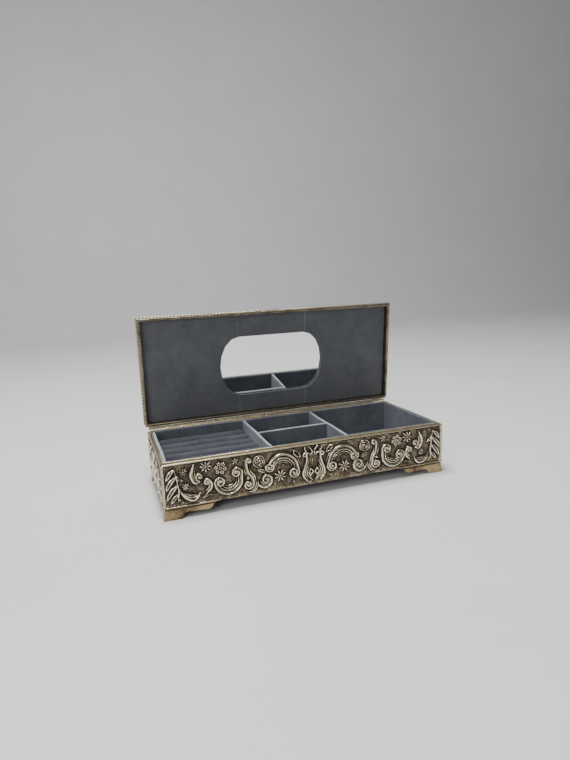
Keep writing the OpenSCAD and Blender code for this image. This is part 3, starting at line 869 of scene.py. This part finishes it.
lipForm = {"outer": 2.4, "thick": 0.8, "low": 34.0, "top": 44.3, "round": 0.28}


def makeLip():
    s = lipForm
    o, i, t, r = s["outer"], s["outer"] + s["thick"], s["top"], s["round"]
    profile = [(o, s["low"]), (o, t - r), (o + r * 0.3, t - r * 0.3), (o + r, t), (i - r, t),
               (i - r * 0.3, t - r * 0.3), (i, t - r), (i, s["low"])]
    bm, first, last = sweptFrame(bodyLeft, bodyRight, bodyFront, bodyBack,
                                 [(inset * mm, z * mm) for inset, z in profile])
    bmesh.ops.bridge_loops(bm, edges=first + last)
    bmesh.ops.recalc_face_normals(bm, faces=bm.faces)
    makePiece(bm, "rimLip", rimSilver, "base", ["rim_lip"], 50)


makeLip()


velvetForm = {"edge": 0.0009, "wave": 0.00016, "waveLength": 0.021, "step": 0.006}


def wavy(bm, amount, length, seed=0.0):
    for vert in bm.verts:
        p = vert.co / length
        vert.co.y += amount * sin(p.x * 2.1 + 1.7 * sin(p.z * 1.3) + seed)
        vert.co.x += amount * sin(p.y * 2.3 + 1.3 * sin(p.z * 1.9) + seed * 1.7)
        vert.co.z += amount * 0.6 * sin(p.x * 1.7 + p.y * 2.9 + seed)


# painted highlight: how pale each strip's top edge is painted; the dividers' tops are at "others"
topEdgeSheen = {"liner_front": 0.1, "liner_back": 0.2, "liner_right": 0.1, "liner_left": 1.0, "others": 0.8}


def coveredStrip(name, node, seed):
    # board covered in velvet: rounded along its edges and never quite straight
    s = velvetForm
    low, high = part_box(node)
    bm = blockMesh(low, high)
    roundEdges(bm, bm.edges[:], s["edge"], 3)
    along = 0 if high.x - low.x > high.y - low.y else 1
    for place in np.arange(low[along] + s["step"], high[along] - s["step"] / 2, s["step"]):
        bmesh.ops.bisect_plane(bm, geom=bm.verts[:] + bm.edges[:] + bm.faces[:], dist=1e-7,
                               plane_co=(place, 0, 0) if along == 0 else (0, place, 0),
                               plane_no=(1, 0, 0) if along == 0 else (0, 1, 0))
    layer = bm.verts.layers.float.new("rub")
    # painted highlight along each strip's top edge
    for vert in bm.verts:
        nearTop = (vert.co.z - high.z + s["edge"] * 1.1) / s["edge"]
        vert[layer] = topEdgeSheen.get(node, topEdgeSheen["others"]) * min(max(nearTop, 0), 1)
    wavy(bm, s["wave"], s["waveLength"], seed)
    makePiece(bm, name, trayVelvet, "base", [node], 60)


print("velvet tray")
for k, node in enumerate(("liner_front", "liner_back", "liner_left", "liner_right", "divider_left",
                          "divider_right", "divider_middle")):
    first, second = node.split("_")
    coveredStrip(second + first.capitalize(), node, k * 1.3)


padForm = {"fill": 0.55, "edge": 0.0011, "cuts": 24, "wave": 0.00012}


def floorPad(name, node):
    # a thin quilted pad: lowest along its edges, crowned in the middle
    s = padForm
    low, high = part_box(node)
    bm = blockMesh(low, high)
    top = [f for f in bm.faces if f.normal.z > 0.5]
    bmesh.ops.subdivide_edges(bm, edges=top[0].edges[:], cuts=s["cuts"], use_grid_fill=True)
    size, middle = high - low, (high + low) / 2
    for vert in bm.verts:
        if vert.co.z > middle.z:
            ex = 1 - (abs(vert.co.x - middle.x) / (size.x / 2)) ** 8
            ey = 1 - (abs(vert.co.y - middle.y) / (size.y / 2)) ** 8
            fall = min(max(ex, 0), max(ey, 0)) ** 0.5
            vert.co.z -= s["edge"] * (1 - fall)
            vert.co.z += s["wave"] * fall * sin(vert.co.x * 190) * sin(vert.co.y * 230)
    piece = makePiece(bm, name, trayVelvet, "base", [node], 60)


for side in ("right", "front", "back"):
    floorPad("pad" + side.capitalize(), "floor_pad_" + side)

# "dark" is the painted shade down between two rolls
rollForm = {"sides": 36, "steps": 40, "square": 2.05, "puff": 0.00018, "tuck": 0.30, "tuckLength": 0.004,
            "dark": -1.1, "fill": 0.85, "seed": 21}


def ringRoll(index):
    # a stuffed velvet roll, squeezed against its neighbours and a little uneven along its length
    s = rollForm
    node = f"ring_roll_{index}"
    low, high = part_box(node)
    size, middle = high - low, (high + low) / 2
    rng = np.random.default_rng(s["seed"] + index)
    phase = rng.uniform(0, 6.28, 4)
    bm = bmesh.new()
    layer = bm.verts.layers.float.new("rub")
    bmesh.ops.create_circle(bm, cap_ends=True, segments=s["sides"], radius=1)
    bmesh.ops.rotate(bm, matrix=Matrix.Rotation(pi / 2, 3, "Y"), verts=bm.verts)
    bmesh.ops.translate(bm, vec=(low.x, 0, 0), verts=bm.verts)
    face = bm.faces[:]
    for step in range(s["steps"]):
        grown = bmesh.ops.extrude_face_region(bm, geom=face)["geom"]
        bmesh.ops.translate(bm, vec=(size.x / s["steps"], 0, 0), verts=vertsOf(grown))
        if step:
            bmesh.ops.delete(bm, geom=[f for f in face if f.is_valid], context="FACES_ONLY")
        face = [g for g in grown if isinstance(g, bmesh.types.BMFace)]
    for vert in bm.verts:
        a = atan2(vert.co.z, vert.co.y)
        c, d = cos(a), sin(a)
        share = (vert.co.x - low.x) / size.x
        r = (abs(c) ** s["square"] + abs(d) ** s["square"]) ** (-1 / s["square"])
        ends = [max(0, 1 - part * size.x / s["tuckLength"]) ** 2 for part in (share, 1 - share)]
        tuck = 1 - s["tuck"] * sum(ends)
        bump = s["puff"] * (sin(share * 11 + phase[0]) + 0.6 * sin(share * 23 + phase[1] + 2 * a))
        vert.co.y = middle.y + c * r * size.y / 2 * tuck
        vert.co.z = middle.z + (d * r * (size.z / 2 + (bump if d > 0 else 0))) * tuck
        vert[layer] = s["dark"] * min(max(1 - d * r, 0) ** 1.5, 1)    # painted shade, darkest down between two rolls
    bmesh.ops.recalc_face_normals(bm, faces=bm.faces)
    piece = makePiece(bm, f"ringRoll{index}", shadedRollVelvet, "base", [node], 60)


print("ring rolls")
for index in range(1, 7):
    ringRoll(index)


lidForm = {
    "cell": 0.56, "high": 1.3, "cove": 5.6, "seed": 31,
    "rimFace": 2.2, "rimLow": 43.2, "sideTop": 46.6, "roof": 51.5, "top": 52.6,
    "frame": 4.4,         # how far in from the edge the raised work begins
    "sunk": 0.55,
}
shellLow, shellHigh = shutBox("lid_shell")
lidX, lidFront, lidBack = shellHigh.x / mm, shellLow.y / mm, shellHigh.y / mm


def makeLidShell():
    s = lidForm
    deep, top = lidBack - lidFront, s["top"]
    sheet = newSheet(2 * lidX, -deep / 2, deep / 2, s["cell"], s["high"])
    lidTop(sheet)
    u, v = np.meshgrid(sheet["u"], sheet["v"])
    inset = np.minimum(lidX - np.abs(u), deep / 2 - np.abs(v))
    share = np.clip(inset / s["cove"], 0, 1)
    # ogee edge: steep at the side, a bead, then the flat top
    form = s["sideTop"] + (top - s["sideTop"]) * np.sin(share * np.pi / 2) ** 0.85
    bead = 0.5 * np.clip(1 - ((inset - 3.4) / 0.8) ** 2, 0, 1) ** 0.5
    work = blurred(sheet["h"], 1) * 0.45 + sheet["h"] * 0.55
    work *= np.clip((inset - s["frame"]) / 0.6, 0, 1)
    crest, fine = crestOf(work, s["high"], s["cell"], s["seed"])
    ground = -s["sunk"] * np.clip((inset - s["frame"]) / 0.5, 0, 1)
    lift = form + bead + work + ground + 0.05 * fine * (work < 0.3)
    # painted shade: a dark line along the foot of the step down to the sunk ground
    crest -= 0.35 * np.clip(1 - np.abs(inset - 4.8) / 0.5, 0, 1)
    crest = np.where(inset < s["frame"], plainMark + panelWork["plainTone"], crest)
    bm, layer = sheetMesh(sheet, lift, crest)
    loop = [e for e in bm.edges if e.is_boundary]
    profile = [(0.0, 46.2, 0.7), (0.45, 46.0, 0.25), (0.45, 44.5, 0.25), (0.0, 44.2, 0.7), (0.0, 43.5, 0.85),
               (0.3, s["rimLow"], 0.9), (s["rimFace"] - 0.3, s["rimLow"], 0.85), (s["rimFace"], 43.5, 0.8),
               (s["rimFace"], s["roof"], 0.5)]
    was = 0.0
    for drawnIn, height, tone in profile:
        drawn, loop = drawOn(bm, loop)
        alongX, alongY = (lidX - drawnIn) / (lidX - was), (deep / 2 - drawnIn) / (deep / 2 - was)
        for vert in drawn:
            vert.co = (vert.co.x * alongX, -height, vert.co.z * alongY)
            vert[layer] = plainMark + tone
        was = drawnIn
    bmesh.ops.contextual_create(bm, geom=loop)
    bmesh.ops.transform(bm, matrix=Matrix.Rotation(-pi / 2, 4, "X"), verts=bm.verts)
    lay = Matrix.Translation((0, (lidFront + lidBack) / 2 * mm, 0)) @ Matrix.Scale(mm, 4)
    bmesh.ops.transform(bm, matrix=lay, verts=bm.verts)
    bmesh.ops.recalc_face_normals(bm, faces=bm.faces)
    markPlain(bm, layer)
    makePiece(bm, "lidShell", [antique, shadedRim], "lid", ["lid_shell"], 50, swing=True)


print("lid")
makeLidShell()

ropeForm = {
    "radius": 1.15, "pitch": 2.95, "height": 45.1, "out": 0.35, "sides": 10, "perTurn": 8,
    "gap": 11.6,          # half the length left bare behind the thumb tab
    "corner": 1.4, "waist": 0.34, "swell": 0.74,
}


def makeRope():
    # a twisted rope in the groove of the lid's rim: front and both ends, with a gap behind the thumb tab
    s = ropeForm
    x, front, back = lidX + s["out"], lidFront - s["out"], lidBack - 1.0
    bm = bmesh.new()
    layer = bm.verts.layers.float.new("crest")
    for side in (-1, 1):
        turn = [(side * (x - s["corner"] * (1 - cos(a))), front + s["corner"] * (1 - sin(a)))
                for a in np.linspace(0, pi / 2, 7)]
        path = np.array([(side * x, back)] + turn + [(side * s["gap"], front)])
        reached = np.concatenate([[0], np.cumsum(np.linalg.norm(np.diff(path, axis=0), axis=1))])

        def at(d):
            return np.array([np.interp(d, reached, path[:, 0]), np.interp(d, reached, path[:, 1])])

        count = int(reached[-1] / s["pitch"] * s["perTurn"])
        verts = bmesh.ops.create_circle(bm, cap_ends=True, segments=s["sides"], radius=1)["verts"]
        ring = [e for e in bm.edges if all(v in verts for v in e.verts)]
        for k in range(count + 1):
            if k:
                fresh, ring = drawOn(bm, ring)
                verts = [next(e.other_vert(v) for e in v.link_edges if e.other_vert(v) in fresh)
                         for v in verts]
            d = reached[-1] * k / count
            ahead = at(d + 0.3) - at(d - 0.3)
            ahead /= np.linalg.norm(ahead)
            end = min(1, 0.35 + 0.65 * min(k, count - k) / 4)            # tapers at its ends
            for j, vert in enumerate(verts):
                a = 2 * pi * j / s["sides"]
                strand = abs(cos(a - pi * d / s["pitch"]))
                r = s["radius"] * (s["waist"] + s["swell"] * strand) * end
                # tone between the strands is dark: oxide and painted shade in the twist's hollows
                vert[layer] = -0.55 + 1.75 * strand
                px, py = at(d) + np.array([ahead[1], -ahead[0]]) * r * cos(a)
                vert.co = (px, py, s["height"] + r * sin(a))
        bmesh.ops.contextual_create(bm, geom=ring)
    bmesh.ops.scale(bm, vec=(mm, mm, mm), verts=bm.verts)
    bmesh.ops.recalc_face_normals(bm, faces=bm.faces)
    makePiece(bm, "lidRope", antique, "lid", ["lid_rope_trim"], 70, swing=True)


makeRope()
tab = softened("thumb_tab", 0.0005, 3, shut=True)
makePiece(tab, "thumbTab", rimSilver, "lid", ["thumb_tab"], 40, swing=True)

mirrorLow, mirrorHigh = shutBox("mirror_glass")
linerForm = {"halfWide": 0.0500, "halfTall": 0.0276, "flat": 0.0315, "facets": 4, "thick": 0.0015,
             "edge": 0.0004}


def makeLidVelvet():
    # velvet over card, cut out for the mirror: straight above and below, with faceted corners
    s = linerForm
    low, high = shutBox("lid_velvet_panel")
    cx, cy = (low.x + high.x) / 2, (mirrorLow.y + mirrorHigh.y) / 2
    bm = bmesh.new()
    outline = ((low.x, low.y), (high.x, low.y), (high.x, high.y), (low.x, high.y))
    corners = [bm.verts.new((x, y, low.z)) for x, y in outline]
    rim = []
    for quarter in range(4):
        for k in range(s["facets"] + 1):
            a = radians(90 * quarter + 90 * k / s["facets"])
            px = s["flat"] * (1 if quarter in (0, 3) else -1) + (s["halfWide"] - s["flat"]) * cos(a)
            rim.append((cx + px, cy + s["halfTall"] * sin(a)))
    hole = [bm.verts.new((px, py, low.z)) for k, (px, py) in enumerate(rim)
            if k == 0 or dist((px, py), rim[k - 1]) > 1e-5]
    if (hole[0].co - hole[-1].co).length < 1e-5:
        bm.verts.remove(hole.pop())
    edges = [bm.edges.new((loop[i], loop[(i + 1) % len(loop)])) for loop in (corners, hole)
             for i in range(len(loop))]
    bmesh.ops.triangle_fill(bm, edges=edges, use_beauty=True)
    bmesh.ops.dissolve_limit(bm, angle_limit=0.01, verts=bm.verts, edges=bm.edges)
    grown = bmesh.ops.extrude_face_region(bm, geom=bm.faces[:])["geom"]
    bmesh.ops.translate(bm, vec=(0, 0, s["thick"]), verts=vertsOf(grown))
    bmesh.ops.recalc_face_normals(bm, faces=bm.faces)
    front = [e for e in bm.edges if all(abs(v.co.z - low.z) < 1e-6 for v in e.verts)
             and abs(e.calc_face_angle(0)) > 0.5]
    roundEdges(bm, front, s["edge"], 2)
    for face in bm.faces:
        middle = face.calc_center_median()
        inWindow = abs(middle.x - cx) < s["halfWide"] + 0.001 and abs(middle.y - cy) < 0.04
        if abs(face.normal.z) < 0.9 and inWindow:
            face.material_index = 1                     # the cut edge of the card round the mirror
    makePiece(bm, "lidVelvet", [lidVelvet, cutEdge], "lid", ["lid_velvet_panel"], swing=True)


mirrorForm = {"tilt": 1.6, "thick": 0.0006, "bevel": 0.0002}


def makeMirror():
    # the glass sits at a slight tilt in its seat
    s = mirrorForm
    low, high = mirrorLow.copy(), mirrorHigh.copy()
    middle = (low + high) / 2
    low.z, high.z = middle.z - s["thick"] / 2, middle.z + s["thick"] / 2
    bm = blockMesh(low, high)
    roundEdges(bm, bm.edges[:], s["bevel"], 2)
    bmesh.ops.rotate(bm, cent=middle, matrix=Matrix.Rotation(radians(s["tilt"]), 3, "X"), verts=bm.verts)
    makePiece(bm, "mirrorGlass", mirrorSilver, "lid", ["mirror_glass"], 5, swing=True)


makeLidVelvet()
makeMirror()

hingeEdge = 0.00015
for name, node, body in (("hingeBarrel", "hinge_barrel", "base"), ("knuckleLeft", "lid_knuckle_left", "lid"),
                         ("knuckleRight", "lid_knuckle_right", "lid")):
    makePiece(softened(node, hingeEdge, 2, 50), name, hingeSilver, body, [node], 45)


print("finishes")
frameFinish = {
    "hinge_rod": hingeSilver, "base_plate": bottomMetal, "base_felt": feltStock, "tray_board": greyBoard,
    "lid_board": greyBoard, "ring_bed": foamStock,
}
for node, material in frameFinish.items():
    for place in frame["nodes"][node].material_slots:
        place.material = material


cameraSettings = {
    "place": (-0.15074, -0.42158, 0.17476),
    "yaw": 19.004, "pitch": 11.209, "roll": 2.29,
    "lens": 25.11758, "sensor": 36.0,
}


def makeCamera():
    s = cameraSettings
    yaw, pitch, roll = (radians(s[k]) for k in ("yaw", "pitch", "roll"))
    ahead = Vector((sin(yaw) * cos(pitch), cos(yaw) * cos(pitch), -sin(pitch)))
    level = Vector((cos(yaw), -sin(yaw), 0))
    down = ahead.cross(level)
    right = cos(roll) * level + sin(roll) * down
    up = -(-sin(roll) * level + cos(roll) * down)
    data = bpy.data.cameras.new("camera")
    data.sensor_width = s["sensor"]
    data.lens = s["lens"]
    camera = bpy.data.objects.new("camera", data)
    stand = Matrix.Translation(Vector(s["place"]) + Vector((0, bodyMid, 0)))
    camera.matrix_world = stand @ Matrix((right, up, -ahead)).transposed().to_4x4()
    bpy.context.scene.collection.objects.link(camera)
    bpy.context.scene.camera = camera


def areaLight(name, place, target, size, power, colour):
    data = bpy.data.lights.new(name, "AREA")
    data.shape, data.size, data.size_y = "RECTANGLE", size[0], size[1]
    data.energy, data.color = power, colour
    lamp = bpy.data.objects.new(name, data)
    lamp.location = place
    lamp.rotation_euler = (Vector(target) - Vector(place)).to_track_quat("-Z", "Y").to_euler()
    bpy.context.scene.collection.objects.link(lamp)


stageForm = {"half": 8.0, "back": 1.2, "curve": 0.5, "steps": 8, "height": 4.0}


def makeStage():
    # a floor that curves up into a wall behind the box
    s = stageForm
    bm = bmesh.new()
    bmesh.ops.create_grid(bm, x_segments=1, y_segments=1, size=s["half"])
    far = [e for e in bm.edges if all(v.co.y > 0 for v in e.verts)]
    for v in far[0].verts:
        v.co.y = s["back"]
    for step in range(1, s["steps"] + 1):
        a = radians(90 * step / s["steps"])
        drawn, far = drawOn(bm, far)
        for v in drawn:
            v.co.y, v.co.z = s["back"] + s["curve"] * sin(a), s["curve"] * (1 - cos(a))
    for v in drawOn(bm, far)[0]:
        v.co.z = s["height"]
    bmesh.ops.recalc_face_normals(bm, faces=bm.faces)
    mesh = bpy.data.meshes.new("floor")
    bm.to_mesh(mesh)
    bm.free()
    for polygon in mesh.polygons:
        polygon.use_smooth = True
    floor = bpy.data.objects.new("floor", mesh)
    bpy.context.scene.collection.objects.link(floor)
    material, tree, shader = nodeMaterial("paleFloor")
    cloud = addNoise(tree, 6.0, 5.0)
    tree.links.new(addRamp(tree, cloud, [(0.3, (0.76, 0.755, 0.76)), (0.7, (0.80, 0.795, 0.80))]),
                   shader.inputs["Base Color"])
    shader.inputs["Roughness"].default_value = 0.55
    mesh.materials.append(material)
    world = bpy.data.worlds.new("studio")
    world.use_nodes = True
    world.node_tree.nodes["Background"].inputs["Color"].default_value = (0.80, 0.83, 0.88, 1)
    world.node_tree.nodes["Background"].inputs["Strength"].default_value = 0.22
    bpy.context.scene.world = world


print("camera and stage")
makeCamera()
makeStage()
# name: place, target, size, power, colour
lamps = {
    "overhead": ((-0.15, -0.02, 1.25), (0, 0, 0), (0.7, 0.4), 22.0, (1.0, 0.985, 0.96)),
    "frontLeft": ((-1.1, -1.2, 0.8), (0, 0, 0.05), (0.7, 0.7), 8.5, (1, 1, 1)),
    "wallWash": ((0.0, 0.2, 2.2), (0.2, 1.7, 0.5), (2.4, 0.8), 7.0, (1, 1, 1)),
}
for name, how in lamps.items():
    areaLight(name, *how)
